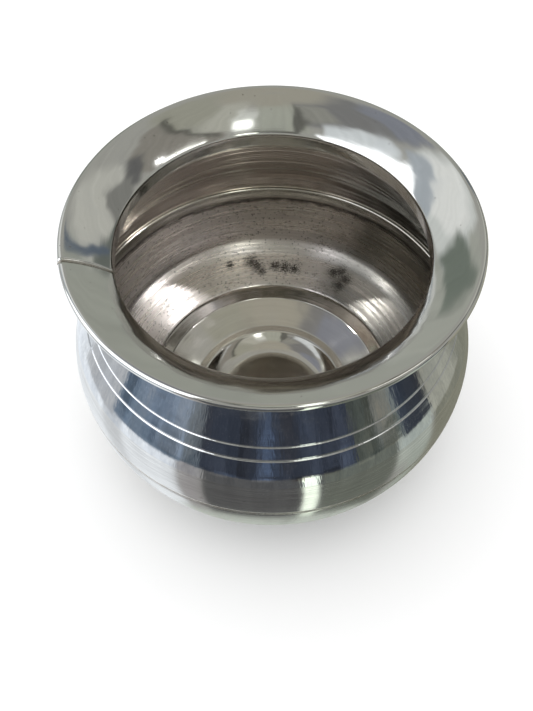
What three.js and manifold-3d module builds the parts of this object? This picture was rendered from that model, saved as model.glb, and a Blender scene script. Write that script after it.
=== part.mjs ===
// A cooking pot of sheet steel: a flared rim collar, a necked shoulder shell and a stepped bowl,
// lapped into one another and welded into one vessel with a wide open mouth.
// Millimetres, +Z up. The origin is the middle of the flat base, on the surface that the pot stands on.

import * as THREE from "three";
import * as BufferGeometryUtils from "three/addons/utils/BufferGeometryUtils.js";
import Module from "manifold-3d";

const wasm = await Module();
wasm.setup();

const radians = THREE.MathUtils.degToRad;

// Stock and fits
const sheet = 1.2; // thickness of the steel sheet
const lapGap = 0.3; // clearance between two sheets that lap, and around a weld
const overrun = 5; // how far a cutter reaches past what it cuts

// Skirt and flare of the collar
const throatRadius = 84.2; // inside of the skirt
const throatBend = 3; // radius of the upper face from skirt to flare
const neckLap = 6; // how deep the skirt plugs into the neck
const flareReach = 25.8; // from the inside of the skirt out to the outermost edge
const flareFootSlope = radians(44); // slope where the flare meets the throat
const flareLipSlope = radians(24); // slope where the flare meets the rolled edge

// Rolled edge of the collar
const curlRadius = 2.3; // outside radius of the roll
const curlTurn = radians(275); // how far round the sheet is rolled

// Radial seam of the collar, rolled from one strip
const seamAzimuth = radians(193.3); // measured from +X towards +Y
const seamWidth = 1;
const seamCrown = 0.2; // how far the weld stands proud of the sheet

// Weld under the flare, on the edge of the neck
const neckWeldRoot = 0.9; // height of the weld's flat side on the skirt
const neckWeldLeg = 2.2; // length of the weld along the flare

// Shoulder shell
const bellyReach = 33.9; // from the inside of the skirt out to the widest ring
const bellyHeight = 73.5; // height of the widest ring, where shell and bowl meet
const bellyLand = 1; // upright stretch at the shell's lower edge
const shoulderArc = 60.5; // radius of the curve from belly to shoulder
const shoulderSlope = radians(29.3); // lean of the shoulder from upright
const neckBend = 12; // radius of the curve from shoulder to neck
const neckStraight = 4.4; // upright stretch of the neck above its bend

// Turned grooves, by their rise above the foot of the straight shoulder
const upperGrooveRise = 14.6;
const upperGrooveWidth = 1.6;
const upperGrooveDepth = 0.35;
const lowerGrooveRise = 7.5;
const lowerGrooveWidth = 2.4;
const lowerGrooveDepth = 0.5;

// Bowl
const bellyLap = 7.5; // how far the bowl's edge reaches up inside the shell
const joggleHeight = 3; // height over which the bowl steps in to the lap
const bowlArc = 87; // radius of the curve under the belly
const bilgeArc = 24.8; // radius of the tighter curve into the bottom
const bottomSlope = radians(22); // slope of the bottom outside the riser
const bottomInset = 45.1; // from the widest ring in to the outer ring, at the foot of the riser
const riserRun = 6; // width of the riser, from the outer ring outwards
const riserSlope = radians(55);
const dishSlope = radians(18); // slope from the ledge out to the outer ring
const dishRun = 25.4; // from the outer ring in to the inner ring
const ledgeRun = 5.5; // width of the flatter ledge outside the inner ring
const ledgeSlope = radians(9);
const innerRingSlope = radians(34); // slope of the middle hollow at the inner ring
const footRadius = 29; // flat disc that the pot stands on

// Faces of the round pieces
const sides = 60;
const curlSteps = 10;
const flareSteps = 4;
const bendSteps = 3;
const shoulderSteps = 5;
const bowlSteps = 4;
const hollowSteps = 3;
const lapSteps = 2;
const samePoint = 1e-6;

// Finishes
const polished = { color: 0xc9cac6, roughness: 0.12, metalness: 1 };
const turned = { color: 0xb4b9bf, roughness: 0.16, metalness: 1 };
const brushed = { color: 0xa39c94, roughness: 0.34, metalness: 1 };
const weldMetal = { color: 0x8f8b84, roughness: 0.42, metalness: 1 };

// Places worked out from the sizes above
const rimRadius = throatRadius + flareReach;
const neckInnerRadius = throatRadius + sheet + lapGap;
const neckOuterRadius = neckInnerRadius + sheet;
const bellyRadius = throatRadius + bellyReach;
const shoulderCentre = new THREE.Vector2(bellyRadius - shoulderArc, bellyHeight + bellyLand);
const shoulderFoot = polar(shoulderCentre, shoulderArc, shoulderSlope);
const neckBendCentre = bendOnShoulder();
const neckTop = neckBendCentre.y + neckStraight;
const throatCentre = new THREE.Vector2(throatRadius + throatBend, neckTop + neckWeldRoot);
const flareMeanSlope = (flareLipSlope + flareFootSlope) / 2;
const curlCentre = curlOnFlare();
const outerRingRadius = bellyRadius - bottomInset;
const innerRingRadius = outerRingRadius - dishRun;

function polar(centre, radius, angle) {
  return new THREE.Vector2(centre.x + radius * Math.cos(angle), centre.y + radius * Math.sin(angle));
}

function arc(centre, radius, fromAngle, toAngle, steps) {
  const points = [];
  for (let i = 0; i <= steps; i += 1) {
    points.push(polar(centre, radius, fromAngle + ((toAngle - fromAngle) * i) / steps));
  }
  return points;
}

// Angle, on a round upper face, of the point where a sheet that rises outwards has this slope
function faceAngle(slope) {
  return Math.PI / 2 + slope;
}

// One path from several stretches, without the points that they share
function joined(...stretches) {
  const path = [];
  for (const point of stretches.flat()) {
    const last = path.at(-1);
    if (!last || last.distanceTo(point) > samePoint) {
      path.push(point);
    }
  }
  return path;
}

function leftOf(from, to) {
  const along = to.clone().sub(from).normalize();
  return new THREE.Vector2(-along.y, along.x);
}

// The same path moved to its left, with mitred corners
function offsetPath(path, distance) {
  return path.map((point, i) => {
    const before = leftOf(path[Math.max(i - 1, 0)], path[Math.max(i, 1)]);
    const last = path.length - 1;
    const after = leftOf(path[Math.min(i, last - 1)], path[Math.min(i + 1, last)]);
    const mitre = before.clone().add(after).normalize();
    return point.clone().addScaledVector(mitre, distance / mitre.dot(before));
  });
}

// Outline between two offsets of one face of the sheet
function between(face, near, far) {
  return [...offsetPath(face, near), ...offsetPath(face, far).reverse()];
}

function lathe(outline) {
  const geometry = new THREE.LatheGeometry(outline, sides);
  geometry.rotateX(Math.PI / 2);
  return geometry;
}

function ring(outline) {
  return lathe([...outline, outline[0].clone()]);
}

function solidOf(geometry) {
  const bare = geometry.clone();
  bare.deleteAttribute("normal");
  bare.deleteAttribute("uv");
  const merged = BufferGeometryUtils.mergeVertices(bare);
  const vertProperties = new Float32Array(merged.attributes.position.array);
  const triVerts = new Uint32Array(merged.index.array);
  return new wasm.Manifold(new wasm.Mesh({ numProp: 3, vertProperties, triVerts }));
}

function geometryOf(solid) {
  const mesh = solid.getMesh();
  const geometry = new THREE.BufferGeometry();
  geometry.setAttribute("position", new THREE.BufferAttribute(mesh.vertProperties, mesh.numProp));
  geometry.setIndex(new THREE.BufferAttribute(mesh.triVerts, 1));
  geometry.computeVertexNormals();
  return geometry;
}

function piece(name, geometry, finish) {
  const mesh = new THREE.Mesh(geometry, new THREE.MeshStandardMaterial(finish));
  mesh.name = name;
  return mesh;
}

// Middle of the bend where the straight shoulder turns up into the neck
function bendOnShoulder() {
  const cornerRise = (shoulderFoot.x - neckOuterRadius) / Math.tan(shoulderSlope);
  const bendStart = shoulderFoot.y + cornerRise + neckBend * Math.tan(shoulderSlope / 2);
  return new THREE.Vector2(neckOuterRadius + neckBend, bendStart);
}

// Middle of the rolled edge, placed so that the flare between throat and lip is one round arc
function curlOnFlare() {
  const curlCentreRadius = rimRadius - curlRadius;
  const foot = polar(throatCentre, throatBend, faceAngle(flareFootSlope));
  const lip = polar(new THREE.Vector2(curlCentreRadius, 0), curlRadius, faceAngle(flareLipSlope));
  const rise = (lip.x - foot.x) * Math.tan(flareMeanSlope);
  return new THREE.Vector2(curlCentreRadius, foot.y + rise - lip.y);
}

// Round arc from the rolled edge down to the throat, on the upper face
function flareFace() {
  const lip = polar(curlCentre, curlRadius, faceAngle(flareLipSlope));
  const foot = polar(throatCentre, throatBend, faceAngle(flareFootSlope));
  const turn = flareFootSlope - flareLipSlope;
  const radius = lip.distanceTo(foot) / (2 * Math.sin(turn / 2));
  const centre = polar(lip, -radius, faceAngle(flareLipSlope));
  return arc(centre, radius, faceAngle(flareLipSlope), faceAngle(flareFootSlope), flareSteps);
}

// Upper and inner face of the collar, from the end of the roll to the foot of the skirt
function collarFace() {
  const curlStart = faceAngle(flareLipSlope);
  return joined(
    arc(curlCentre, curlRadius, curlStart - curlTurn, curlStart, curlSteps),
    flareFace(),
    arc(throatCentre, throatBend, faceAngle(flareFootSlope), Math.PI, bendSteps),
    [new THREE.Vector2(throatRadius, neckTop - neckLap)],
  );
}

// Box across the collar where the two ends of its strip meet
function seamBox() {
  const reach = flareReach + 2 * overrun;
  const foot = neckTop - neckLap - overrun;
  const height = curlCentre.y + curlRadius + overrun - foot;
  const box = new THREE.BoxGeometry(reach, seamWidth, height);
  box.translate(throatRadius - overrun + reach / 2, 0, foot + height / 2);
  box.rotateZ(seamAzimuth);
  return solidOf(box);
}

function rimCollar() {
  const whole = solidOf(ring(between(collarFace(), 0, sheet)));
  return geometryOf(whole.subtract(seamBox()));
}

function collarSeamWeld() {
  const crowned = solidOf(ring(between(collarFace(), -seamCrown, sheet + seamCrown)));
  return geometryOf(crowned.intersect(seamBox()));
}

// Fillet on the neck's edge, a clearance away from the collar
function neckWeld() {
  const rootRadius = throatCentre.x - neckInnerRadius;
  const flareDirection = new THREE.Vector2(Math.cos(flareFootSlope), Math.sin(flareFootSlope));
  const rootArc = arc(throatCentre, rootRadius, faceAngle(flareFootSlope), Math.PI, bendSteps);
  const toe = rootArc[0].clone().addScaledVector(flareDirection, neckWeldLeg);
  const innerFoot = new THREE.Vector2(neckInnerRadius, neckTop);
  const outerFoot = new THREE.Vector2(neckOuterRadius, neckTop);
  return ring(joined([toe], rootArc, [innerFoot, outerFoot]));
}

// A turned groove across a straight stretch, as three points from its lower edge to its upper edge
function groove(middle, up, outward, width, depth) {
  return [
    middle.clone().addScaledVector(up, -width / 2),
    middle.clone().addScaledVector(outward, -depth),
    middle.clone().addScaledVector(up, width / 2),
  ];
}

// Outer face of the shell, from its lower edge at the belly to its upper edge at the neck
function shoulderFace() {
  const up = new THREE.Vector2(-Math.sin(shoulderSlope), Math.cos(shoulderSlope));
  const outward = new THREE.Vector2(Math.cos(shoulderSlope), Math.sin(shoulderSlope));
  const risen = (rise) => shoulderFoot.clone().addScaledVector(up, rise / up.y);
  return joined(
    [new THREE.Vector2(bellyRadius, bellyHeight)],
    arc(shoulderCentre, shoulderArc, 0, shoulderSlope, shoulderSteps),
    groove(risen(lowerGrooveRise), up, outward, lowerGrooveWidth, lowerGrooveDepth),
    groove(risen(upperGrooveRise), up, outward, upperGrooveWidth, upperGrooveDepth),
    arc(neckBendCentre, neckBend, Math.PI + shoulderSlope, Math.PI, bendSteps),
    [new THREE.Vector2(neckOuterRadius, neckTop)],
  );
}

function shoulderShell() {
  return ring(between(shoulderFace(), 0, sheet));
}

// Filling of the groove between the shell's edge and the bowl's joggle, dressed flush
function bellyWeld() {
  const lapOuterRadius = bellyRadius - sheet - lapGap;
  const slope = Math.atan2(joggleHeight, bellyRadius - lapOuterRadius);
  const rootRadius = lapOuterRadius + lapGap / Math.sin(slope);
  const depth = (bellyRadius - rootRadius) * Math.tan(slope);
  return ring([
    new THREE.Vector2(bellyRadius, bellyHeight - depth),
    new THREE.Vector2(bellyRadius, bellyHeight),
    new THREE.Vector2(rootRadius, bellyHeight),
  ]);
}

// Point at a distance further out on a face that rises outwards at this slope
function further(from, run, slope) {
  return new THREE.Vector2(from.x + run, from.y + run * Math.tan(slope));
}

// Outer face of the bottom: flat foot, round hollow up to the inner ring, ledge, dish and riser
function bottomFace() {
  const hollowArc = (innerRingRadius - footRadius) / Math.sin(innerRingSlope);
  const hollowCentre = new THREE.Vector2(footRadius, hollowArc);
  const hollow = arc(hollowCentre, hollowArc, -Math.PI / 2, innerRingSlope - Math.PI / 2, hollowSteps);
  const ledgeEnd = further(hollow.at(-1), ledgeRun, ledgeSlope);
  const outerRing = further(ledgeEnd, outerRingRadius - ledgeEnd.x, dishSlope);
  const riserEnd = further(outerRing, riserRun, riserSlope);
  return joined([new THREE.Vector2(0, 0)], hollow, [ledgeEnd, outerRing, riserEnd]);
}

// Outer face of the bowl, from the middle of the base to its upper edge inside the shell
function bowlFace() {
  const bottom = bottomFace();
  const bottomTop = bottom.at(-1);
  const outwards = new THREE.Vector2(Math.cos(bottomSlope), Math.sin(bottomSlope));
  const inwards = new THREE.Vector2(-Math.sin(bottomSlope), Math.cos(bottomSlope));
  const bowlCentre = new THREE.Vector2(bellyRadius - bowlArc, bellyHeight);
  // The bilge arc touches the sloping bottom and the curve under the belly
  const start = bottomTop.clone().addScaledVector(inwards, bilgeArc).sub(bowlCentre);
  const reach = bowlArc - bilgeArc;
  const sideways = start.dot(outwards);
  const along = Math.sqrt(reach ** 2 - start.lengthSq() + sideways ** 2) - sideways;
  const bilgeCentre = start.addScaledVector(outwards, along).add(bowlCentre);
  const bilgeEnd = bilgeCentre.clone().sub(bowlCentre).angle() - 2 * Math.PI;
  const joggleEnd = -Math.asin(joggleHeight / bowlArc);
  const lapArc = shoulderArc - sheet - lapGap;
  return joined(
    bottom,
    arc(bilgeCentre, bilgeArc, bottomSlope - Math.PI / 2, bilgeEnd, bowlSteps),
    arc(bowlCentre, bowlArc, bilgeEnd, joggleEnd, bowlSteps),
    [new THREE.Vector2(bellyRadius - sheet - lapGap, bellyHeight)],
    arc(shoulderCentre, lapArc, 0, Math.asin((bellyLap - bellyLand) / lapArc), lapSteps),
  );
}

function lowerBowl() {
  return lathe(between(bowlFace(), 0, sheet));
}

const pot = new THREE.Group();
pot.name = "cooking_pot";
pot.add(
  piece("rim_collar", rimCollar(), polished),
  piece("collar_seam_weld", collarSeamWeld(), weldMetal),
  piece("neck_weld", neckWeld(), weldMetal),
  piece("shoulder_shell", shoulderShell(), turned),
  piece("belly_weld", bellyWeld(), weldMetal),
  piece("lower_bowl", lowerBowl(), brushed),
);

export default pot;
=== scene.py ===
# %% [markdown]
# # A cooking pot of sheet steel
# The CAD model gives this pot's pieces and sizes: a flared collar, a shoulder shell, a bowl and the
# welds between them. This script dresses each piece as the real metal looks: sheet with rounded cut
# edges, turned grooves, the small waves that spinning leaves, and a finish for each stretch of it.

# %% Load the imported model
import bpy
import numpy as np
from mathutils import Matrix, Vector


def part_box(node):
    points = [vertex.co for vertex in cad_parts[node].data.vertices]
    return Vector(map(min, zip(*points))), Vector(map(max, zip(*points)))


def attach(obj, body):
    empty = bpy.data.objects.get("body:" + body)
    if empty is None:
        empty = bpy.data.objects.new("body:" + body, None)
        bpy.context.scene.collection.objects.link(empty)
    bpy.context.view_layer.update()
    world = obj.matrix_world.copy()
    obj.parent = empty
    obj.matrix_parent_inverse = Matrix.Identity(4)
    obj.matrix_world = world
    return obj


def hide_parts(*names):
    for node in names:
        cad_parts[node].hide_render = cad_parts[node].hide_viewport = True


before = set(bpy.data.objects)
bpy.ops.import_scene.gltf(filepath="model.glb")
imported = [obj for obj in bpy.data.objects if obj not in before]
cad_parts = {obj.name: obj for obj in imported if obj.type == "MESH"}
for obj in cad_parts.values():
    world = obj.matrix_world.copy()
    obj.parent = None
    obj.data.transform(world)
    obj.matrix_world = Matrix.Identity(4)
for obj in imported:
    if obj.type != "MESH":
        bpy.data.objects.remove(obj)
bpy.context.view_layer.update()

print("CAD nodes:", sorted(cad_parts))

# %% [markdown]
# ## The camera
# A camera can be aimed by hand, with a Track To constraint, or by writing its turn as a matrix.
# The matrix is used here, because the view has to be exact: 56.47 degrees down from the horizon and
# a quarter of a degree of roll. A camera looks along its own -Z axis, with +Y up in the image.

# %% Camera
MM = 0.001
IMAGE_HEIGHT = 711
FOCAL_LENGTH_PIXELS = 800
SENSOR_SIDE = 36.0
LOOK_DOWN = np.radians(56.47)
CAMERA_ROLL = np.radians(-0.27)
CAMERA_PLACE = np.array([-3.35, -283.49, 475.47]) * MM


def camera_turn(down, roll):
    """Columns are the camera's right, up and backward directions: it looks along +Y, tipped down by
    the first angle, and its right and up directions are then turned about that line by the second."""
    ahead = np.array([0.0, np.cos(down), -np.sin(down)])
    above = np.array([0.0, np.sin(down), np.cos(down)])
    beside = np.array([1.0, 0.0, 0.0])
    right = np.cos(roll) * beside + np.sin(roll) * above
    up = np.cos(roll) * above - np.sin(roll) * beside
    return np.stack([right, up, -ahead], axis=1)


camera_data = bpy.data.cameras.new("camera")
camera_data.sensor_width = SENSOR_SIDE
camera_data.lens = SENSOR_SIDE * FOCAL_LENGTH_PIXELS / IMAGE_HEIGHT
camera_data.clip_start = 0.01
camera = bpy.data.objects.new("camera", camera_data)
placed = np.eye(4)
placed[:3, :3] = camera_turn(LOOK_DOWN, CAMERA_ROLL)
placed[:3, 3] = CAMERA_PLACE
camera.matrix_world = Matrix(placed.tolist())
bpy.context.collection.objects.link(camera)
bpy.context.scene.camera = camera
bpy.context.scene.view_settings.view_transform = "Standard"
print("lens in mm:", round(camera_data.lens, 2))

# %% [markdown]
# ## Small helpers
# Everything below makes meshes from arrays and materials from nodes, so two helpers come first.
# `from_pydata` would do for small meshes; `foreach_set` hands over whole arrays and is much faster.

# %% A mesh from arrays


def mesh_from_arrays(name, points, faces):
    """Makes an object at the origin from an array of points and a list of arrays of faces, which
    may mix triangles and quads."""
    mesh = bpy.data.meshes.new(name)
    corners = np.concatenate([block.ravel() for block in faces]).astype(np.int32)
    sizes = np.concatenate([np.full(len(block), block.shape[1]) for block in faces])
    mesh.vertices.add(len(points))
    mesh.vertices.foreach_set("co", np.ascontiguousarray(points, np.float32).ravel())
    mesh.loops.add(len(corners))
    mesh.loops.foreach_set("vertex_index", corners)
    mesh.polygons.add(len(sizes))
    starts = np.concatenate([[0], np.cumsum(sizes)[:-1]]).astype(np.int32)
    mesh.polygons.foreach_set("loop_start", starts)
    mesh.update(calc_edges=True)
    mesh.shade_smooth()
    made = bpy.data.objects.new(name, mesh)
    bpy.context.collection.objects.link(made)
    return made


# %% A shader node and a material


def add_node(tree, kind, inputs=None, **settings):
    """Adds one shader node. Each input is a plain value, or an output socket to link from."""
    made = tree.nodes.new("ShaderNode" + kind)
    for key, value in settings.items():
        setattr(made, key, value)
    for key, value in (inputs or {}).items():
        if isinstance(value, bpy.types.NodeSocket):
            tree.links.new(value, made.inputs[key])
        else:
            made.inputs[key].default_value = value
    return made


def new_material(name):
    """Gives an empty material's node tree and its output node."""
    material = bpy.data.materials.new(name)
    material.use_nodes = True
    material.node_tree.nodes.clear()
    return material, material.node_tree, add_node(material.node_tree, "OutputMaterial")


# %% [markdown]
# ## The studio
# Polished steel has hardly any colour of its own: what the eye sees is the room around it. A plain
# floor and a soft light make the pale ground and the contact shadow. A dome round everything stands
# for the room, and only mirror-like surfaces see it. It could be an image, but here it is a list of
# soft-edged panels, as a photographer sets up lights and flags. Four narrow beams go in through the
# mouth to the dull wall. The floor shows only from above, so the pot can be looked at from below.

# %% Directions and lights


def direction(azimuth, elevation):
    """Unit vector (sin a cos e, -cos a cos e, sin e) of an azimuth a and an elevation e in degrees.
    Azimuth 0 is towards the viewer and 90 to the viewer's right."""
    turn, rise = np.radians(azimuth), np.radians(elevation)
    return np.stack([np.sin(turn) * np.cos(rise), -np.cos(turn) * np.cos(rise), np.sin(rise)], axis=-1)


def new_light(name, kind, power, **settings):
    """Makes a light of some watts with the given settings."""
    data = bpy.data.lights.new(name, kind)
    data.energy = power
    for key, value in settings.items():
        setattr(data, key, value)
    made = bpy.data.objects.new(name, data)
    bpy.context.collection.objects.link(made)
    return made


# %% Floor, soft light and background
FLOOR_RADIUS = 6.0
FLOOR_HEIGHT = -0.0001  # a hair under the pot's foot
FLOOR_TONE = (0.93, 0.93, 0.93, 1.0)
BACKGROUND_TONE = (1.0, 1.0, 1.0, 1.0)
SOFT_LIGHT_POWER = 14.0
SOFT_LIGHT_WIDTH = 2.4
SOFT_LIGHT_PLACE = (-0.25, 0.2, 1.7)
SOFT_LIGHT_TILT = (-0.12, -0.15, 0.0)

around = np.radians(np.arange(0, 360, 5.0))
rim_points = np.stack([np.cos(around), np.sin(around), 0 * around], axis=1) * FLOOR_RADIUS
rim_points[:, 2] = FLOOR_HEIGHT
floor = mesh_from_arrays("floor", rim_points, [np.arange(len(around))[None, :]])
material, tree, output = new_material("plain_floor")
paint = add_node(tree, "BsdfDiffuse", {"Color": FLOOR_TONE})
clear = add_node(tree, "BsdfTransparent")
side = add_node(tree, "NewGeometry")
choice = {0: side.outputs["Backfacing"], 1: paint.outputs[0], 2: clear.outputs[0]}
tree.links.new(add_node(tree, "MixShader", choice).outputs[0], output.inputs["Surface"])
floor.data.materials.append(material)
floor.visible_glossy = False

soft_light = new_light("soft_light", "AREA", SOFT_LIGHT_POWER, shape="DISK", size=SOFT_LIGHT_WIDTH)
soft_light.location = SOFT_LIGHT_PLACE
soft_light.rotation_euler = SOFT_LIGHT_TILT
soft_light.visible_glossy = False
soft_light.visible_camera = False

world = bpy.data.worlds.new("pale_world")
world.use_nodes = True
world.node_tree.nodes.clear()
sky = add_node(world.node_tree, "Background", {"Color": BACKGROUND_TONE, "Strength": 1.0})
sky_output = add_node(world.node_tree, "OutputWorld")
world.node_tree.links.new(sky.outputs["Background"], sky_output.inputs["Surface"])
bpy.context.scene.world = world
print("floor, light and background made")

# %% Narrow beams through the mouth
BEAM_LENGTH = 1.2
BEAM_BLEND = 0.8
BEAM_SOURCE = 0.02
# Each beam: name, the point it is aimed at, the azimuth and elevation it comes from in degrees, half
# its width at that point, and its power
BEAMS = [
    ("beam_on_left_bilge", (-0.068, 0.058, 0.030), (103, 63), 0.034, 5.0),
    ("beam_on_left_wall", (-0.096, 0.066, 0.072), (83, 43), 0.036, 24.0),
    ("beam_on_right_bilge", (0.067, 0.054, 0.026), (-112, 63), 0.022, 6.0),
    ("beam_on_right_wall", (0.080, 0.073, 0.040), (-80, 42), 0.018, 5.0),
]
for name, target, comes_from, half_width, power in BEAMS:
    heading = direction(*comes_from)
    cone = 2 * np.arctan(half_width / BEAM_LENGTH)
    beam = new_light(name, "SPOT", power, spot_size=cone, spot_blend=BEAM_BLEND, shadow_soft_size=BEAM_SOURCE)
    aimed = Vector(heading).to_track_quat("Z", "Y").to_matrix().to_4x4()
    beam.matrix_world = Matrix.Translation(np.array(target) + heading * BEAM_LENGTH) @ aimed
print("beams made:", len(BEAMS))

# %% Panels of the room
DOME_RADIUS = 3.0
STEEL_SHARE = 0.70  # share of the light that polished steel throws back
GRAIN = 0.05  # height of the streaks in the room's tone
CLUTTER = 90  # things that stand about in the room
CLUTTER_EDGES = (0.9, 1.6)  # softness of their upright and level edges in degrees
BELLY_PANELS = -40  # a panel that starts lower than this shows on the belly
SIGHT = np.array([0.0, 0.39, -0.92])  # line of sight
BELT_REACH = 1.28  # how far the satin belt's face throws the mirrored sight outwards
# Each panel: azimuth from and to, elevation from and to, softness of the upright and of the level
# edges and how much its level edges climb to the right, in degrees, and its tone as it shows in the
# steel. Azimuth 0 is towards the viewer and 90 to the viewer's right. Later panels lie over earlier
# ones. A tone over 1 is a light source, which also shows in the dull finishes.
PANELS = [
    # walls and ceiling
    (-180, 180, -90, 90, 1, 1, 0, (0.28, 0.28, 0.26)),
    (-30, 16, 55, 82, 6, 6, 0, (0.30, 0.31, 0.27)),
    (-180, 180, 78, 90, 1, 8, 0, (0.28, 0.27, 0.23)),
    (33, 66, 56, 80, 5, 6, 0, (0.34, 0.34, 0.30)),
    (60, 124, 64, 80, 10, 4, 0.1, (0.26, 0.26, 0.22)),
    (36, 110, 36, 61, 6, 3, 0.16, (0.20, 0.19, 0.17)),
    (40, 112, 60, 62.5, 6, 2, 0.22, (0.08, 0.08, 0.07)),
    (-126, -30, 60, 80, 8, 5, 0, (0.16, 0.16, 0.16)),
    (-60, -30, 64, 78, 6, 5, 0, (0.22, 0.22, 0.20)),
    (-32, -18, 57, 74, 4, 4, -0.9, (0.10, 0.10, 0.09)),
    (-98, -42, 50, 61, 6, 4, 0.05, (0.52, 0.55, 0.57)),
    (-20, 16, 44, 55, 5, 3, 0, (0.09, 0.09, 0.08)),
    # room behind the pot
    (-182, -142, -14, 40, 4, 6, 0, (0.29, 0.30, 0.27)),
    (-150, -114, 14, 58, 5, 5, 0, (0.48, 0.50, 0.49)),
    (-146, -116, 27, 56, 6, 5, 0, (0.60, 0.61, 0.60)),
    (-163, -141, 14, 34, 6, 5, 0, (0.13, 0.15, 0.13)),
    (-136, -106, 60, 74, 5, 4, 0, (0.18, 0.19, 0.22)),
    (144, 182, -12, 40, 6, 6, 0, (0.26, 0.27, 0.24)),
    (98, 118, 34, 52, 5, 5, 0, (0.10, 0.10, 0.10)),
    (111, 149, 20, 52, 6, 6, 0, (0.38, 0.38, 0.35)),
    (118, 148, 7, 20, 6, 4, 0, (0.10, 0.11, 0.10)),
    (104, 124, 18, 42, 4, 5, 0, (0.17, 0.17, 0.16)),
    (137, 156, 24.5, 32, 2, 2, 1.53, (0.08, 0.10, 0.13)),
    # window and lamps
    (-121, -104, 18, 56, 3, 4, 0, (0.32, 0.35, 0.38)),
    (-106, -34, 2, 51, 3, 2, 0.10, (1.3, 1.33, 1.37)),
    (19, 31, 57, 66, 6, 5, 0, (1.9, 1.95, 1.85)),
    (14, 36, 66, 75, 5, 5, 0, (0.50, 0.51, 0.48)),
    (50, 80, 42, 48, 4, 2, -0.25, (1.6, 1.6, 1.5)),
    (11, 25, 38, 48, 3, 3, 0, (2.4, 2.5, 2.2)),
    # below the horizon, as the satin belly sees it
    (-146, -44, -76, -6, 3, 4, 0, (0.72, 0.75, 0.78)),
    (-84, -72, -76, -6, 3, 4, 0, (0.56, 0.58, 0.60)),
    (-44, -32, -76, -6, 9, 4, 0, (0.28, 0.27, 0.27)),
    (-32, 34, -76, -6, 3, 4, 0, (0.08, 0.08, 0.08)),
    (14, 21, -72, -10, 1.5, 3, 0, (0.98, 1.08, 0.92)),
    (23, 58, -76, -6, 2, 4, 0, (0.12, 0.13, 0.11)),
    (58, 77, -48, -6, 2, 8, 0, (0.35, 0.38, 0.34)),
    (66, 92, -74, -42, 3, 8, 0, (0.30, 0.33, 0.29)),
    (78, 146, -76, -6, 3, 4, 0, (0.19, 0.19, 0.15)),
    # at eye level, as the mirror shoulder sees it
    (-150, -80, -23, 2, 3, 3, 0, (0.42, 0.43, 0.44)),
    (-81, -42, -16, 0, 2, 3, 0.12, (0.15, 0.19, 0.24)),
    (-72, -40, -9, 2, 4, 3, 0, (0.21, 0.26, 0.33)),
    (-42, -32, -12, 2, 3, 2, 0, (0.11, 0.13, 0.15)),
    (-34, 39, -11, 2, 3, 2, 0, (0.030, 0.036, 0.050)),
    (39, 63, -12, 2, 1.5, 2, 0, (0.07, 0.08, 0.07)),
    (50, 63, -9, 2, 1.5, 2, 0, (0.14, 0.15, 0.14)),
    (63, 81, -16, 2, 1.5, 3, 0, (0.035, 0.04, 0.05)),
    (81, 128, -23, 2, 1.5, 3, 0, (0.30, 0.30, 0.25)),
    # ground under the belly
    (-180, 180, -90, -74, 1, 5, 0, (0.43, 0.46, 0.42)),
]


def panel_cover(degrees, lowest, highest, softness):
    """Smooth step up at the lower edge times smooth step down at the higher one, each as wide as the
    softness and centred on its edge."""
    rising = np.clip((degrees - lowest) / softness + 0.5, 0, 1)
    falling = np.clip((highest - degrees) / softness + 0.5, 0, 1)
    return rising**2 * (3 - 2 * rising) * falling**2 * (3 - 2 * falling)


def room_tones(azimuth, elevation):
    """Light from each direction of the room, in degrees: the panels laid over one another in order.
    A panel's azimuths may pass 180, so angles are measured from its middle."""
    tones = np.zeros(azimuth.shape + (3,))
    upright = belly_azimuth(azimuth, elevation)
    for left, right, low, high, side_softness, level_softness, climb, tone in PANELS:
        all_round = right - left == 360
        middle = (left + right) / 2
        place = upright if low < BELLY_PANELS and not all_round else azimuth
        from_middle = (place - middle + 180) % 360 - 180
        cover = panel_cover(elevation - climb * from_middle, low, high, level_softness)
        if not all_round:
            cover = cover * panel_cover(from_middle, left - middle, right - middle, side_softness)
        tones = tones * (1 - cover[..., None]) + np.array(tone) * cover[..., None]
    grain = room_grain(azimuth, elevation)[..., None]
    return tones / STEEL_SHARE * grain * room_clutter(azimuth, elevation)


def belly_azimuth(azimuth, elevation):
    """Panels below the horizon show on the belly, where upright edges should stay upright. The face
    that mirrors a direction to the viewer points halfway between the two: along q - d, with q the
    direction and d the line of sight. Its azimuth a is turned into that of a direction mirrored at
    the top of the satin belt, (1.28 sin a, 1.28 cos a - 0.39)."""
    facing = direction(azimuth, elevation) - SIGHT
    turn = np.arctan2(facing[..., 0], -facing[..., 1])
    return np.degrees(np.arctan2(BELT_REACH * np.sin(turn), BELT_REACH * np.cos(turn) - SIGHT[1]))


def room_clutter(azimuth, elevation):
    """Things that stand about in the room at eye level: soft-edged boxes in azimuth and elevation,
    each of which multiplies the tone by its own factor, a little bluish or brownish."""
    draw = np.random.default_rng(12)
    factor = np.ones(azimuth.shape + (3,))
    for _ in range(CLUTTER):
        middle, half_width = draw.uniform(-82, 84), draw.uniform(0.8, 4.5)
        low, height = draw.uniform(-15, -2), draw.uniform(2, 12)
        change = np.exp(draw.uniform(-0.4, 0.42))
        warmth = draw.uniform(-0.05, 0.07)
        from_middle = (azimuth - middle + 180) % 360 - 180
        cover = panel_cover(from_middle, -half_width, half_width, CLUTTER_EDGES[0])
        cover = cover * panel_cover(elevation, low, low + height, CLUTTER_EDGES[1])
        factor *= 1 + cover[..., None] * (change * np.array([1 + warmth, 1.0, 1 - warmth]) - 1)
    return factor


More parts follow.
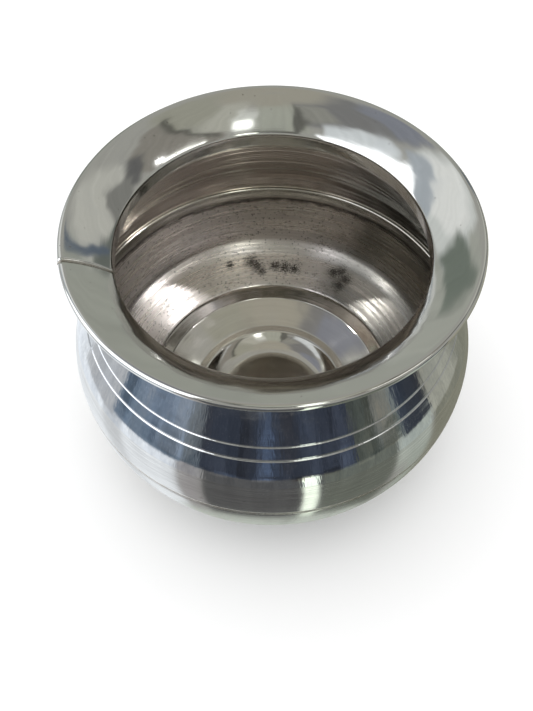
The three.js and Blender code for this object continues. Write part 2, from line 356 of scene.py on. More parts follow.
def room_grain(azimuth, elevation):
    """Upright streaks that make the room less even: one plus a sum of waves in azimuth, each cos(n a
    + p) with whole n, whose height swings slowly with elevation."""
    draw = np.random.default_rng(3)
    total = np.zeros(azimuth.shape)
    for waves_round in (23, 37, 58, 83, 121, 167):
        swing = 0.6 + 0.4 * np.cos(np.radians(elevation) * draw.uniform(2, 7) + draw.uniform(0, 6))
        total += GRAIN * swing * np.cos(waves_round * np.radians(azimuth) + draw.uniform(0, 2 * np.pi))
    return 1 + total


# %% Dome that carries the panels
DOME_STEP = 0.75
level, upward = np.arange(0, 360, DOME_STEP), np.arange(-90, 90 + DOME_STEP, DOME_STEP)
azimuth, elevation = np.meshgrid(level, upward, indexing="ij")
corner = np.arange(azimuth.size).reshape(azimuth.shape)
beside = np.roll(corner, -1, axis=0)
quads = np.stack([corner[:, :-1], corner[:, 1:], beside[:, 1:], beside[:, :-1]], axis=-1)
dome_points = DOME_RADIUS * direction(azimuth, elevation)
dome = mesh_from_arrays("studio_dome", dome_points.reshape(-1, 3), [quads.reshape(-1, 4)])
tones = np.ones((azimuth.size, 4), np.float32)
tones[:, :3] = room_tones(azimuth, elevation).reshape(-1, 3)
light = dome.data.color_attributes.new("room_light", "FLOAT_COLOR", "POINT")
light.data.foreach_set("color", tones.ravel())
material, tree, output = new_material("room_light")
reading = add_node(tree, "VertexColor", layer_name="room_light")
glow = add_node(tree, "Emission", {"Color": reading.outputs["Color"], "Strength": 1.0})
tree.links.new(glow.outputs["Emission"], output.inputs["Surface"])
material.cycles.emission_sampling = "NONE"
dome.data.materials.append(material)
dome.visible_camera = False
dome.visible_diffuse = False
dome.visible_shadow = False
print("dome of", len(PANELS), "panels made")

# %% [markdown]
# ## Outlines of the sheet
# Each piece of this pot was spun or rolled from flat sheet, so one face of the sheet is a curve in
# the plane of radius and height, and the other face is the same curve moved by the thickness. The
# curve is put together from arcs and straight stretches. The outline could be modelled with Screw or
# Solidify modifiers, but worked out in numpy it is exact, and any stretch can be found again by its
# length along the curve when it is given a finish.

# %% Sizes of the pot
SHEET = 1.2 * MM
LAP_GAP = 0.3 * MM
THROAT_BEND = 3 * MM
NECK_LAP = 6 * MM
FLARE_FOOT_SLOPE = np.radians(44)
FLARE_LIP_SLOPE = np.radians(24)
CURL_RADIUS = 2.3 * MM
CURL_TURN = np.radians(275)
SEAM_AZIMUTH = np.radians(193.3)
SEAM_WIDTH = 1 * MM
SEAM_CROWN = 0.2 * MM
NECK_WELD_ROOT = 0.9 * MM
NECK_WELD_LEG = 2.2 * MM
BELLY_LAND = 1 * MM
SHOULDER_ARC = 60.5 * MM
SHOULDER_SLOPE = np.radians(29.3)
NECK_BEND = 12 * MM
BELLY_LAP = 7.5 * MM
JOGGLE = 3 * MM
BOWL_ARC = 87 * MM
BILGE_ARC = 24.8 * MM
BOTTOM_SLOPE = np.radians(22)
OUTER_RING_INSET = 45.1 * MM
RISER_RUN = 6 * MM
RISER_SLOPE = np.radians(55)
DISH_SLOPE = np.radians(18)
DISH_RUN = 25.4 * MM
LEDGE_RUN = 5.5 * MM
LEDGE_SLOPE = np.radians(9)
INNER_RING_SLOPE = np.radians(34)
FOOT_RADIUS = 29 * MM
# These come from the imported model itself
RIM_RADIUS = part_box("rim_collar")[1].x
BELLY_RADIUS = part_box("shoulder_shell")[1].x
BELLY_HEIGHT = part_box("shoulder_shell")[0].z
NECK_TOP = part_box("shoulder_shell")[1].z
THROAT_RADIUS = RIM_RADIUS - 25.8 * MM
NECK_INNER = THROAT_RADIUS + SHEET + LAP_GAP
NECK_OUTER = NECK_INNER + SHEET
radii = np.array([RIM_RADIUS, BELLY_RADIUS, THROAT_RADIUS])
print("rim, belly and throat radius in mm:", np.round(radii / MM, 2))

# %% Arcs and straight stretches
FINE = 0.05 * MM  # spacing of the points of a path before stations are chosen


def polar(centre, radius, angle):
    """Centre plus radius times (cosine, sine) of the angle."""
    return np.stack([centre[0] + radius * np.cos(angle), centre[1] + radius * np.sin(angle)], axis=-1)


def arc(centre, radius, start, end):
    """Points of a circle between two angles."""
    return polar(centre, radius, np.linspace(start, end, max(int(abs(end - start) * abs(radius) / FINE), 3)))


def straight(start, end):
    """Points from one end to the other."""
    start, end = np.array(start, float), np.array(end, float)
    return np.linspace(start, end, max(int(np.hypot(*(end - start)) / FINE), 2))


def joined(*stretches):
    """Stretches one after another, each without its first point where it repeats the last one."""
    kept = [stretches[0]] + [
        after[1:] if np.hypot(*(after[0] - before[-1])) < 1e-7 else after
        for before, after in zip(stretches, stretches[1:])
    ]
    return np.concatenate(kept)


# %% Path of the shell: belly, shoulder and neck
shoulder_centre = np.array([BELLY_RADIUS - SHOULDER_ARC, BELLY_HEIGHT + BELLY_LAND])
shoulder_foot = polar(shoulder_centre, SHOULDER_ARC, SHOULDER_SLOPE)
corner_rise = (shoulder_foot[0] - NECK_OUTER) / np.tan(SHOULDER_SLOPE)
neck_bend_height = shoulder_foot[1] + corner_rise + NECK_BEND * np.tan(SHOULDER_SLOPE / 2)
neck_bend_centre = np.array([NECK_OUTER + NECK_BEND, neck_bend_height])


def shell_face():
    """Outer face: upright land, arc of the belly, straight shoulder, bend and upright neck."""
    return joined(
        straight([BELLY_RADIUS, BELLY_HEIGHT], shoulder_centre + [SHOULDER_ARC, 0]),
        arc(shoulder_centre, SHOULDER_ARC, 0, SHOULDER_SLOPE),
        straight(shoulder_foot, polar(neck_bend_centre, NECK_BEND, np.pi + SHOULDER_SLOPE)),
        arc(neck_bend_centre, NECK_BEND, np.pi + SHOULDER_SLOPE, np.pi),
        straight([NECK_OUTER, neck_bend_height], [NECK_OUTER, NECK_TOP]),
    )


# %% Path of the collar: rolled edge, flare, throat and skirt
throat_centre = np.array([THROAT_RADIUS + THROAT_BEND, NECK_TOP + NECK_WELD_ROOT])
flare_foot = polar(throat_centre, THROAT_BEND, np.pi / 2 + FLARE_FOOT_SLOPE)
curl_centre = np.array([RIM_RADIUS - CURL_RADIUS, 0.0])
lip = polar(curl_centre, CURL_RADIUS, np.pi / 2 + FLARE_LIP_SLOPE)
mean_slope = (FLARE_FOOT_SLOPE + FLARE_LIP_SLOPE) / 2
curl_centre[1] = flare_foot[1] + (lip[0] - flare_foot[0]) * np.tan(mean_slope) - lip[1]
lip = lip + [0, curl_centre[1]]


def collar_face():
    """Upper face: the roll, a large arc that eases from the lip's slope to the throat's, the
    throat's small arc, and the upright skirt."""
    flare_turn = FLARE_FOOT_SLOPE - FLARE_LIP_SLOPE
    flare_arc = np.hypot(*(lip - flare_foot)) / (2 * np.sin(flare_turn / 2))
    flare_centre = polar(lip, -flare_arc, np.pi / 2 + FLARE_LIP_SLOPE)
    roll_end = np.pi / 2 + FLARE_LIP_SLOPE
    return joined(
        arc(curl_centre, CURL_RADIUS, roll_end - CURL_TURN, roll_end),
        arc(flare_centre, flare_arc, roll_end, np.pi / 2 + FLARE_FOOT_SLOPE),
        arc(throat_centre, THROAT_BEND, np.pi / 2 + FLARE_FOOT_SLOPE, np.pi),
        straight([THROAT_RADIUS, throat_centre[1]], [THROAT_RADIUS, NECK_TOP - NECK_LAP]),
    )


# %% Path of the bowl: stepped bottom, bilge, wall and lap
OUTER_RING_RADIUS = BELLY_RADIUS - OUTER_RING_INSET
INNER_RING_RADIUS = OUTER_RING_RADIUS - DISH_RUN
RISER_END = OUTER_RING_RADIUS + RISER_RUN
LAP_OUTER = BELLY_RADIUS - SHEET - LAP_GAP
EASE = 1.4 * MM  # how far round a pressed corner the metal bends


def bottom_face():
    """Outer face of the bottom: flat foot, round hollow, ledge, dish and riser. The sine of the slope
    goes in straight lines from knot to knot, which makes every bend a round arc, and the height is
    the running sum of the slope's tangent."""
    ledge_end = INNER_RING_RADIUS + LEDGE_RUN
    knots = [
        (0, 0),
        (FOOT_RADIUS, 0),
        (INNER_RING_RADIUS, INNER_RING_SLOPE),
        (INNER_RING_RADIUS + EASE / 2, LEDGE_SLOPE),
        (ledge_end - EASE / 2, LEDGE_SLOPE),
        (ledge_end + EASE / 2, DISH_SLOPE),
        (OUTER_RING_RADIUS - EASE / 2, DISH_SLOPE),
        (OUTER_RING_RADIUS + EASE / 2, RISER_SLOPE),
        (RISER_END - EASE / 2, RISER_SLOPE),
        (RISER_END + EASE / 2, BOTTOM_SLOPE),
    ]
    radii, slopes = np.array(knots).T
    radius = np.arange(0, radii[-1], FINE)
    slope = np.arcsin(np.interp(radius, radii, np.sin(slopes)))
    height = np.concatenate([[0], np.cumsum(np.tan(slope[1:] / 2 + slope[:-1] / 2) * FINE)])
    return np.stack([radius, height], axis=-1)


def bowl_face():
    """Outer face, from the middle of the base: the stepped bottom, the tight bilge arc, the wide
    arc under the belly, the joggle inwards and the lap."""
    bottom = bottom_face()
    outwards = np.array([np.cos(BOTTOM_SLOPE), np.sin(BOTTOM_SLOPE)])
    inwards = np.array([-outwards[1], outwards[0]])
    bowl_centre = np.array([BELLY_RADIUS - BOWL_ARC, BELLY_HEIGHT])
    start = bottom[-1] + inwards * BILGE_ARC - bowl_centre
    sideways = start @ outwards
    along = np.sqrt((BOWL_ARC - BILGE_ARC) ** 2 - start @ start + sideways**2) - sideways
    bilge_centre = start + outwards * along + bowl_centre
    bilge_end = np.arctan2(*(bilge_centre - bowl_centre)[::-1])
    bilge = arc(bilge_centre, BILGE_ARC, BOTTOM_SLOPE - np.pi / 2, bilge_end)
    wall_end = -np.arcsin(JOGGLE / BOWL_ARC)
    lap_arc = SHOULDER_ARC - SHEET - LAP_GAP
    return joined(
        bottom,
        straight(bottom[-1], bilge[0]),
        bilge,
        arc(bowl_centre, BOWL_ARC, bilge_end, wall_end),
        straight(polar(bowl_centre, BOWL_ARC, wall_end), [LAP_OUTER, BELLY_HEIGHT]),
        arc(shoulder_centre, lap_arc, 0, np.arcsin((BELLY_LAP - BELLY_LAND) / lap_arc)),
    )


# %% [markdown]
# ## From a path to a closed sheet
# A fine path would give far too many faces, so stations are chosen along it: close together where
# it bends hard, far apart where it is straight. Both faces use the same stations, and each cut edge
# is closed with a small rounded end, as a deburred edge is.

# %% Stations and outline
ROUNDING = 0.35 * SHEET  # how far a cut edge is rounded
END_POINTS = 4  # points on each rounded end
SMOOTHED = 15  # points of a path that its bend is averaged over


def lengths_along(path):
    """Length along the path at each of its points."""
    return np.concatenate([[0], np.cumsum(np.hypot(*np.diff(path, axis=0).T))])


def path_measures(path):
    """Length along the path at each point, unit normals to its left, and how sharply it bends:
    the change of direction per metre."""
    length = lengths_along(path)
    along = np.gradient(path, length, axis=0)
    along /= np.hypot(*along.T)[:, None]
    bend = np.hypot(*np.gradient(along, length, axis=0).T)
    return length, np.stack([-along[:, 1], along[:, 0]], axis=-1), bend


def choose_stations(path, widest, narrowest, turning, close=()):
    """Lengths along the path. The wished step is the turning over the bend, kept between the
    narrowest and the widest; near a close spot (middle, half width, step) it is that step. The
    running sum of 1 / step, cut into whole numbers, gives the stations."""
    length, _, bend = path_measures(path)
    bend = np.convolve(np.pad(bend, SMOOTHED // 2, mode="edge"), np.ones(SMOOTHED) / SMOOTHED, mode="valid")
    step = np.clip(turning / np.maximum(bend, 1e-6), narrowest, widest)
    for middle, half_width, close_step in close:
        step = np.where(np.abs(length - middle) < half_width, np.minimum(step, close_step), step)
    count = np.concatenate([[0], np.cumsum(np.diff(length) / ((step[1:] + step[:-1]) / 2))])
    wished = np.linspace(0, count[-1], int(np.ceil(count[-1])) + 1)
    return np.clip(np.interp(wished, count, length), ROUNDING, length[-1] - ROUNDING)


def sheet_outline(path, stations, poles=False):
    """Closed outline of a sheet: the path at the stations, a rounded end, the path moved by the
    thickness back again, and another rounded end. With poles, the path starts on the axis and that
    end is left open. Gives points, left-hand normals of the sheet, station lengths and, for each
    point, which part it is: 0 the path's own face, 1 the other face, 2 a rounded end."""
    length, normals, _ = path_measures(path)
    if poles:
        stations = np.append(0, stations[1:])
    near = np.stack([np.interp(stations, length, path[:, k]) for k in (0, 1)], axis=-1)
    left = np.stack([np.interp(stations, length, normals[:, k]) for k in (0, 1)], axis=-1)
    left /= np.hypot(*left.T)[:, None]
    far = near + left * SHEET
    swing = np.linspace(0, np.pi, END_POINTS + 2)[1:-1, None]

    def rounded(base, normal, ahead):
        """Half an ellipse from one face to the other: half the thickness by the rounding."""
        return base + normal * SHEET / 2 * (1 - np.cos(swing)) + ahead * ROUNDING * np.sin(swing)

    end = rounded(near[-1], left[-1], np.array([left[-1][1], -left[-1][0]]))
    foot = rounded(near[0], left[0], -np.array([left[0][1], -left[0][0]]))[::-1]
    points = np.concatenate([near, end, far[::-1], foot])
    parts = np.repeat([0, 2, 1, 2], [len(near), END_POINTS, len(near), END_POINTS])
    there = np.arange(len(near))
    order = np.concatenate([there, np.full(END_POINTS, there[-1]), there[::-1], np.full(END_POINTS, 0)])
    if poles:
        points, parts, order = points[:-END_POINTS], parts[:-END_POINTS], order[:-END_POINTS]
        points[[0, -1], 0] = 0
    return points, left[order], stations[order], parts


# %% [markdown]
# ## Turning an outline into a mesh
# The outline goes round the pot's axis as on a lathe. A Screw modifier could do that, but real spun
# sheet isn't perfectly round: it keeps waves a few hundredths of a millimetre high, and they are
# what makes a mirror finish swim. So the points are worked out one by one, each moved a little along
# the sheet's normal. The UV map holds the share of a turn and the length along the outline.

# %% Waves in the sheet


def spun_waves(turn, length, seed, height, shortest, longest, count=26, most_round=34):
    """Sum of waves that run round the pot and along the sheet. Each is cos(n turn + a) times
    cos(2 pi length / wavelength + b), with whole n, random a and b, and a height that falls with
    the size of n, so that long waves are high and short ones low."""
    draw = np.random.default_rng(seed)
    total = np.zeros(np.broadcast(turn, length).shape)
    for _ in range(count):
        waves_round = draw.integers(2, most_round)
        wavelength = draw.uniform(shortest, longest)
        share = height / (1 + 0.35 * waves_round)
        round_pot = np.cos(waves_round * turn + draw.uniform(0, 2 * np.pi))
        total += share * round_pot * np.cos(2 * np.pi * length / wavelength + draw.uniform(0, 2 * np.pi))
    return total


def spun_rings(length, seed, height, shortest, longest, count=7):
    """Rings left by the spinning roller: a sum of cos(2 pi length / wavelength + a), each with its
    own wavelength and with a height in proportion to it, so that all are equally steep."""
    draw = np.random.default_rng(seed)
    wavelengths = draw.uniform(shortest, longest, count)
    waves = [w / longest * np.cos(2 * np.pi * length / w + draw.uniform(0, 2 * np.pi)) for w in wavelengths]
    return height * sum(waves) / np.sqrt(count)


def ramp(distance, reach):
    """0 up to a distance of 0, then in a straight line up to 1 at the reach."""
    return np.clip(distance / reach, 0, 1)


# %% Lathe
ROUND = 360  # columns in a full turn
TURN = 2 * np.pi


def turned_piece(name, outline, finishes, move, choose=None, start=np.pi / 2, sweep=TURN, columns=ROUND):
    """Point (station i, column j) = (radius cos a, radius sin a, height), with a = start + sweep j /
    columns. The outline is closed, or runs from pole to pole. Each point is moved along the sheet's
    normal by move(turn, length, part), and choose(length, part) says which finish a face has. A
    sweep of less than a turn gets two flat ends."""
    points, lefts, spots, parts = outline
    poles = points[0, 0] == 0
    whole = sweep == TURN
    turns = start + sweep * np.arange(columns if whole else columns + 1) / columns
    shift = move(turns[None, :], spots[:, None], parts[:, None])
    radius = points[:, :1] + shift * lefts[:, :1]
    height = points[:, 1:] + shift * lefts[:, 1:]
    if poles:
        radius[[0, -1]] = 0
        height[[0, -1]] = points[[0, -1], 1:]
    grid = np.stack([radius * np.cos(turns), radius * np.sin(turns), height], axis=-1)
    index = np.arange(radius.size).reshape(radius.shape)
    side = index if poles else np.concatenate([index, index[:1]])
    side = np.concatenate([side, side[:, :1]], axis=1) if whole else side
    quads = np.stack([side[:-1, :-1], side[:-1, 1:], side[1:, 1:], side[1:, :-1]], axis=-1)
    along = lengths_along(points if poles else np.concatenate([points, points[:1]]))
    share = np.arange(side.shape[1]) / (side.shape[1] - 1) * sweep / TURN
    u = np.stack([share[:-1], share[1:], share[1:], share[:-1]], axis=-1)
    v = np.stack([along[:-1], along[:-1], along[1:], along[1:]], axis=-1)
    uv = np.stack(np.broadcast_arrays(u[None, :, :], v[:, None, :]), axis=-1)
    face_parts = np.maximum(parts, np.roll(parts, -1))[: len(quads)]
    kinds = choose(spots[: len(quads)], face_parts) if choose else 0 * face_parts
    blocks, uv_blocks, kind_blocks = [], [], []
    if poles:
        for row, corners, tip in ((0, [3, 0, 2], 1), (-1, [0, 1, 3], 2)):
            fan = quads[row][:, corners]
            fan[:, tip] = index[row, 0]
            blocks.append(fan)
            uv_blocks.append(uv[row][:, corners])
            kind_blocks.append(np.full(len(fan), kinds[row]))
        quads, uv, kinds = quads[1:-1], uv[1:-1], kinds[1:-1]
    blocks.append(quads.reshape(-1, 4))
    uv_blocks.append(uv.reshape(-1, 4, 2))
    kind_blocks.append(np.repeat(kinds, quads.shape[1]))
    if not whole:
        half = len(points) // 2
        for column, order in ((0, 1), (-1, -1)):
            near, far = index[:half, column], index[::-1, column][:half]
            cap = np.stack([near[:-1], near[1:], far[1:], far[:-1]], axis=-1)[:, ::order]
            blocks.append(cap)
            uv_blocks.append(np.zeros(cap.shape + (2,)))
            kind_blocks.append(np.zeros(len(cap), int))
    cloud, blocks = drop_unused(grid.reshape(-1, 3), blocks)
    blocks, uv_blocks = face_outwards(cloud, blocks, uv_blocks)
    made = mesh_from_arrays(name, cloud, blocks)
    uvs = np.concatenate([block.reshape(-1, 2) for block in uv_blocks]).astype(np.float32)
    made.data.uv_layers.new(name="turning").data.foreach_set("uv", uvs.ravel())
    made.data.polygons.foreach_set("material_index", np.concatenate(kind_blocks).astype(np.int32))
    for finish in finishes:
        made.data.materials.append(finish)
    triangles = sum(len(block) * (block.shape[1] - 2) for block in blocks)
    print(name, "has", len(cloud), "points and", triangles, "triangles")
    return made


def drop_unused(points, blocks):
    """Leaves out points that no face uses, such as the copies of a pole."""
    used = np.unique(np.concatenate([block.ravel() for block in blocks]))
    place = np.full(len(points), -1)
    place[used] = np.arange(len(used))
    return points[used], [place[block] for block in blocks]


def face_outwards(points, blocks, uv_blocks):
    """Signed volume is the sum of a . (b x c) / 6 over all triangles. If it is negative, every face
    is turned over, and its UVs with it."""
    volume = 0.0
    for block in blocks:
        for k in range(1, block.shape[1] - 1):
            a, b, c = points[block[:, 0]], points[block[:, k]], points[block[:, k + 1]]
            volume += np.einsum("ij,ij->", a, np.cross(b, c)) / 6
    order = -1 if volume < 0 else 1
    return [block[:, ::order] for block in blocks], [block[:, ::order] for block in uv_blocks]


# %% [markdown]
# ## Marks that several finishes share
# Turned lines, drawn fibres, soft clouds, specks, stains and painted shade, and dirt with painted shade
# are on more than one finish. Each is a node group with named inputs and one output, built once. It
# could be painted by hand, but worked out from noise it has no seams and no limit of detail. A group
# gives out a mask or a height only; the Principled BSDF that uses it stays in the material.

# %% Helpers for nodes inside a group
NOISE_SPREAD = (0.36, 0.64)  # where most of a noise's values lie


def calculate(tree, operation, first, second=0.0):
    """Adds a Math node and gives its output."""
    return add_node(tree, "Math", {0: first, 1: second}, operation=operation).outputs[0]


def smooth_step(tree, value, start, end, low=0.0, high=1.0):
    """Goes smoothly from low to high while the value goes from start to end."""
    ends = {"Value": value, "From Min": start, "From Max": end, "To Min": low, "To Max": high}
    return add_node(tree, "MapRange", ends, interpolation_type="SMOOTHSTEP").outputs["Result"]


def noise_at(tree, place, scale, detail, roughness=0.5, distortion=0.0):
    """Adds a Noise Texture and gives its value, which is 0.5 on average."""
    inputs = {"Vector": place, "Scale": scale, "Detail": detail, "Roughness": roughness}
    return add_node(tree, "TexNoise", {**inputs, "Distortion": distortion}).outputs["Fac"]


def object_place(tree):
    """The point in the piece's own coordinates."""
    return add_node(tree, "TexCoord").outputs["Object"]


def parts_of(tree, vector):
    """The X, Y and Z of a vector."""
    return add_node(tree, "SeparateXYZ", {"Vector": vector}).outputs


def outline_length(tree):
    """How far along the outline the point is: the second value of the piece's own UV map."""
    return parts_of(tree, add_node(tree, "UVMap", uv_map="turning").outputs["UV"])["Y"]


def raggedness(tree, place, entry):
    """Noise about zero, as high as the group's Ragged and as fine as its Grain."""
    off = calculate(tree, "SUBTRACT", noise_at(tree, place, entry["Grain"], 4.0), 0.5)
    return calculate(tree, "MULTIPLY", off, entry["Ragged"])


# %% Helpers to make and use a group


def new_group(name, output, **inputs):
    """Makes a node group with one output. A tuple makes a vector input and a number a plain one.
    Gives the group, its inputs as sockets to link from, and the socket that leads out."""
    group = bpy.data.node_groups.new(name, "ShaderNodeTree")
    for label, value in inputs.items():
        kind = "NodeSocketVector" if isinstance(value, tuple) else "NodeSocketFloat"
        group.interface.new_socket(label, in_out="INPUT", socket_type=kind).default_value = value
    group.interface.new_socket(output, in_out="OUTPUT", socket_type="NodeSocketFloat")
    entry = group.nodes.new("NodeGroupInput").outputs
    return group, entry, group.nodes.new("NodeGroupOutput").inputs[0]


def use_group(tree, group, **inputs):
    """Places a group in a material, sets its inputs and gives its output."""
    made = tree.nodes.new("ShaderNodeGroup")
    made.node_tree = group
    for label, value in inputs.items():
        made.inputs[label].default_value = value
    return made.outputs[0]


# %% Turned lines: fine rings left by a tool that runs round the pot
turned_lines, entry, leaving = new_group("turned_lines", "Height", Lines=900.0, Length=14.0, Detail=3.0)
spot = parts_of(turned_lines, object_place(turned_lines))
along_x = calculate(turned_lines, "MULTIPLY", spot["X"], entry["Length"])
along_y = calculate(turned_lines, "MULTIPLY", spot["Y"], entry["Length"])
lines = calculate(turned_lines, "MULTIPLY", outline_length(turned_lines), entry["Lines"])
thread = add_node(turned_lines, "CombineXYZ", {"X": along_x, "Y": along_y, "Z": lines})
noise = noise_at(turned_lines, thread.outputs[0], 1.0, entry["Detail"], 0.6)
turned_lines.links.new(smooth_step(turned_lines, noise, *NOISE_SPREAD), leaving)

# %% Drawn fibres: fine marks that run up and down the sheet
drawn_fibres, entry, leaving = new_group("drawn_fibres", "Height", Fibres=40.0, Run=25.0)
place = object_place(drawn_fibres)
flat = add_node(drawn_fibres, "VectorMath", {0: place, 1: (1.0, 1.0, 0.0)}, operation="MULTIPLY")
heading = add_node(drawn_fibres, "VectorMath", {0: flat.outputs[0]}, operation="NORMALIZE")
inputs = {0: heading.outputs[0], "Scale": entry["Fibres"]}
fibres = parts_of(drawn_fibres, add_node(drawn_fibres, "VectorMath", inputs, operation="SCALE").outputs[0])
run = calculate(drawn_fibres, "MULTIPLY", outline_length(drawn_fibres), entry["Run"])
thread = add_node(drawn_fibres, "CombineXYZ", {"X": fibres["X"], "Y": fibres["Y"], "Z": run})
noise = noise_at(drawn_fibres, thread.outputs[0], 1.0, 3.0, 0.55)
drawn_fibres.links.new(smooth_step(drawn_fibres, noise, *NOISE_SPREAD), leaving)

# %% Clouds: soft patches of handling and uneven polish
clouds, entry, leaving = new_group("clouds", "Mask", Scale=30.0, Low=0.45, High=0.65)
noise = noise_at(clouds, object_place(clouds), entry["Scale"], 5.0, 0.6, 0.6)
clouds.links.new(smooth_step(clouds, noise, entry["Low"], entry["High"]), leaving)

# %% Specks: small pits and dots, more or fewer of them
specks, entry, leaving = new_group("specks", "Mask", Scale=300.0, Size=0.25, Share=0.3)
cells = add_node(specks, "TexVoronoi", {"Vector": object_place(specks), "Scale": entry["Scale"]})
chance = add_node(specks, "SeparateColor", {"Color": cells.outputs["Color"]}).outputs
kept = calculate(specks, "LESS_THAN", chance[0], entry["Share"])
reach = calculate(specks, "MULTIPLY", chance[1], entry["Size"])
dot = smooth_step(specks, cells.outputs["Distance"], 0.0, reach, 1.0, 0.0)
specks.links.new(calculate(specks, "MULTIPLY", dot, kept), leaving)

# %% Stain and shade patch: a soft-edged, ragged patch round one point of the piece, for real stains and for painted shade
STAIN_EDGE = (0.55, 1.0)  # where it starts to fade and where it ends, as shares of its radius
stain_and_shade_patch, entry, leaving = new_group(
    "stain_and_shade_patch", "Mask", Centre=(0.0, 0.0, 0.0), Radius=0.005, Ragged=0.4, Grain=350.0
)
place = object_place(stain_and_shade_patch)
away = add_node(stain_and_shade_patch, "VectorMath", {0: place, 1: entry["Centre"]}, operation="DISTANCE")
share = calculate(stain_and_shade_patch, "DIVIDE", away.outputs["Value"], entry["Radius"])
moved = calculate(stain_and_shade_patch, "ADD", share, raggedness(stain_and_shade_patch, place, entry))
stain_and_shade_patch.links.new(smooth_step(stain_and_shade_patch, moved, *STAIN_EDGE, 1.0, 0.0), leaving)

# %% Dirt and shade line: a ragged dark ring at one height of the piece, partly dirt and partly painted shade
dirt_and_shade_line, entry, leaving = new_group("dirt_and_shade_line", "Mask", Height=0.07, Width=0.004, Ragged=0.006, Grain=90.0)
place = object_place(dirt_and_shade_line)
above = calculate(dirt_and_shade_line, "SUBTRACT", parts_of(dirt_and_shade_line, place)["Z"], entry["Height"])
moved = calculate(dirt_and_shade_line, "ADD", above, raggedness(dirt_and_shade_line, place, entry))
away = calculate(dirt_and_shade_line, "ABSOLUTE", moved)
dirt_and_shade_line.links.new(smooth_step(dirt_and_shade_line, away, 0.0, entry["Width"], 1.0, 0.0), leaving)
print("node groups:", sorted(group.name for group in bpy.data.node_groups))

# %% [markdown]
# ## Finishes
# All the finishes are bare steel: Metallic 1, and Base Color is what the metal reflects straight on.
# They differ in roughness and in marks, and the shell's inner face and the bowl's wall also hold painted
# shade. A satin belt made by abrasive turned against the sheet scatters light across its lines, up and
# down: that is Anisotropic, with a tangent round the pot.

# %% Helpers for a steel finish


def steel(name, colour, roughness, anisotropic=0.0):
    """Starts a bare steel material. Numbers that are the same all over are set on its own sockets."""
    material, tree, output = new_material(name)
    surface = add_node(tree, "BsdfPrincipled", {"Base Color": (*colour, 1.0), "Metallic": 1.0})
    surface.inputs["Roughness"].default_value = roughness
    tree.links.new(surface.outputs["BSDF"], output.inputs["Surface"])
    if anisotropic:
        surface.inputs["Anisotropic"].default_value = anisotropic
        surface.inputs["Anisotropic Rotation"].default_value = 0.25  # a quarter turn
        round_pot = add_node(tree, "Tangent", direction_type="UV_MAP", uv_map="turning")
        tree.links.new(round_pot.outputs["Tangent"], surface.inputs["Tangent"])
    return material, tree, surface


def vary(surface, mask, low, high):
    """Lets the roughness go from low to high as the mask goes from 0 to 1."""
    spread = add_node(surface.id_data, "MapRange", {"Value": mask, "To Min": low, "To Max": high})
    surface.id_data.links.new(spread.outputs["Result"], surface.inputs["Roughness"])


def tint(surface, *layers):
    """Starts from the metal's own colour and mixes in that of each (mask, strength, colour)."""
    tree = surface.id_data
    current = tuple(surface.inputs["Base Color"].default_value)
    for mask, strength, colour in layers:
        amount = add_node(tree, "Math", {0: mask, 1: strength}, operation="MULTIPLY", use_clamp=True)
        inputs = {0: amount.outputs[0], 6: current, 7: (*colour, 1.0)}
        current = add_node(tree, "Mix", inputs, data_type="RGBA").outputs[2]
    tree.links.new(current, surface.inputs["Base Color"])


def dent(surface, *layers):
    """Chains one Bump per (height, depth in metres), each on top of the last, into Normal."""
    tree = surface.id_data
    normal = None
    for height, depth in layers:
        bump = add_node(tree, "Bump", {"Strength": 1.0, "Distance": depth, "Height": height})
        if normal is not None:
            tree.links.new(normal, bump.inputs["Normal"])
        normal = bump.outputs["Normal"]
    tree.links.new(normal, surface.inputs["Normal"])


# %% Polished collar
collar_polish, tree, surface = steel("collar_polish", (0.72, 0.72, 0.70), 0.10, anisotropic=0.4)
haze = use_group(tree, clouds, Scale=38.0, Low=0.46, High=0.72)
dots = use_group(tree, specks, Scale=420.0, Size=0.35, Share=0.10)
rings = use_group(tree, turned_lines, Lines=700.0, Length=22.0)
vary(surface, haze, 0.08, 0.14)
tint(surface, (haze, 0.25, (0.66, 0.67, 0.68)), (dots, 0.8, (0.35, 0.33, 0.31)))
dent(surface, (rings, 0.003 * MM), (dots, -0.01 * MM))

# %% Mirror shoulder
shoulder_mirror, tree, surface = steel("shoulder_mirror", (0.72, 0.73, 0.74), 0.05)
haze = use_group(tree, clouds, Scale=45.0, Low=0.42, High=0.7)
strokes = use_group(tree, drawn_fibres, Fibres=95.0, Run=260.0)
fibres = use_group(tree, drawn_fibres, Fibres=26.0, Run=60.0)
rings = use_group(tree, turned_lines, Lines=800.0, Length=16.0)
vary(surface, haze, 0.05, 0.13)
tint(surface, (haze, 0.45, (0.56, 0.59, 0.64)), (strokes, 0.30, (0.52, 0.55, 0.60)))
dent(surface, (fibres, 0.02 * MM), (strokes, 0.003 * MM), (rings, 0.002 * MM))

# %% Satin belly
belly_satin, tree, surface = steel("belly_satin", (0.76, 0.76, 0.75), 0.17, anisotropic=0.97)
scratches = use_group(tree, turned_lines, Lines=1300.0, Length=26.0, Detail=4.0)
bands = use_group(tree, turned_lines, Lines=420.0, Length=7.0, Detail=2.0)
patches = use_group(tree, clouds, Scale=25.0, Low=0.42, High=0.7)
dots = use_group(tree, specks, Scale=260.0, Size=0.35, Share=0.06)
vary(surface, patches, 0.155, 0.19)
tint(
    surface,
    (scratches, 0.45, (0.50, 0.50, 0.50)),
    (bands, 0.22, (0.55, 0.54, 0.53)),
    (dots, 0.7, (0.35, 0.34, 0.33)),
)
dent(surface, (scratches, 0.003 * MM))
